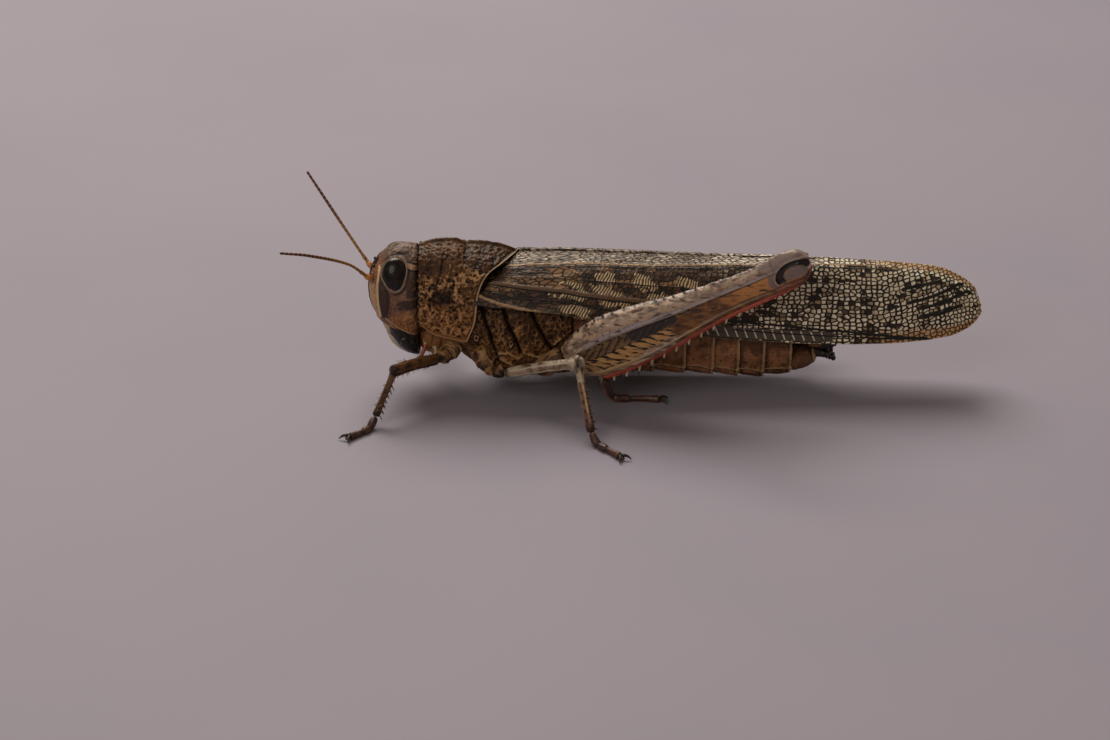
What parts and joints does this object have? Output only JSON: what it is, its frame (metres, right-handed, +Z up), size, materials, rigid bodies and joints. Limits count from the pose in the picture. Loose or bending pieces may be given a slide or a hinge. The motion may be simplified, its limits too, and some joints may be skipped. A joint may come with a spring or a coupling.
{
  "type": "locust",
  "caption": "Migratory locust in its brown form, an adult female standing still at life size with folded wings.",
  "frame": {"origin": "middle of the bounding box, on the floor that the feet stand on", "axes": "+X from the head to the wing tips, +Y to the insect's right side, +Z up"},
  "size_m": [0.0688, 0.0372, 0.0204],
  "materials": {
    "head_shell": "mottled brown cuticle with pale bands",
    "mouth_shell": "pale smooth cuticle",
    "jaw": "black glossy cuticle",
    "eye": "dark brown, smooth and glossy",
    "antenna": "ringed golden brown cuticle",
    "pronotum": "pitted brown cuticle",
    "thorax": "pitted and ridged brown cuticle",
    "abdomen": "smooth brown cuticle with pale edges",
    "ovipositor": "black hard cuticle",
    "wing": "leathery, veined, brown blotches on straw",
    "hind_wing": "folded clear membrane",
    "front_leg": "brown cuticle with short hairs",
    "middle_leg": "grey-beige cuticle with short hairs",
    "hind_thigh": "ridged cuticle with dark chevrons",
    "hind_shin": "red cuticle with pale black-tipped spines",
    "foot": "dark brown cuticle with pads"
  },
  "bodies": {
    "root": {"abdomen_1": "abdomen", "abdomen_2": "abdomen", "abdomen_3": "abdomen", "abdomen_4": "abdomen", "abdomen_5": "abdomen", "abdomen_6": "abdomen", "abdomen_7": "abdomen", "abdomen_8": "abdomen", "antenna_left": "antenna", "antenna_right": "antenna", "epiproct": "abdomen", "eye_left": "eye", "eye_right": "eye", "front_coxa_left": "front_leg", "front_coxa_right": "front_leg", "front_femur_left": "front_leg", "front_femur_right": "front_leg", "front_tarsus_left": "foot", "front_tarsus_right": "foot", "front_tibia_left": "front_leg", "front_tibia_right": "front_leg", "head": "head_shell", "hind_coxa_left": "thorax", "hind_coxa_right": "thorax", "hind_femur_left": "hind_thigh", "hind_femur_right": "hind_thigh", "hind_tarsus_left": "foot", "hind_tarsus_right": "foot", "hind_tibia_left": "hind_shin", "hind_tibia_right": "hind_shin", "hind_wing_left": "hind_wing", "hind_wing_right": "hind_wing", "labium": "mouth_shell", "labrum": "mouth_shell", "mandible_left": "jaw", "mandible_right": "jaw", "mesothorax": "thorax", "metathorax": "thorax", "middle_coxa_left": "middle_leg", "middle_coxa_right": "middle_leg", "middle_femur_left": "middle_leg", "middle_femur_right": "middle_leg", "middle_tarsus_left": "foot", "middle_tarsus_right": "foot", "middle_tibia_left": "middle_leg", "middle_tibia_right": "middle_leg", "ovipositor_lower_left": "ovipositor", "ovipositor_lower_right": "ovipositor", "ovipositor_upper_left": "ovipositor", "ovipositor_upper_right": "ovipositor", "palp_left": "mouth_shell", "palp_right": "mouth_shell", "pronotum": "pronotum", "prothorax": "thorax", "subgenital_plate": "abdomen", "tegmen_left": "wing", "tegmen_right": "wing"}
  },
  "joints": []
}
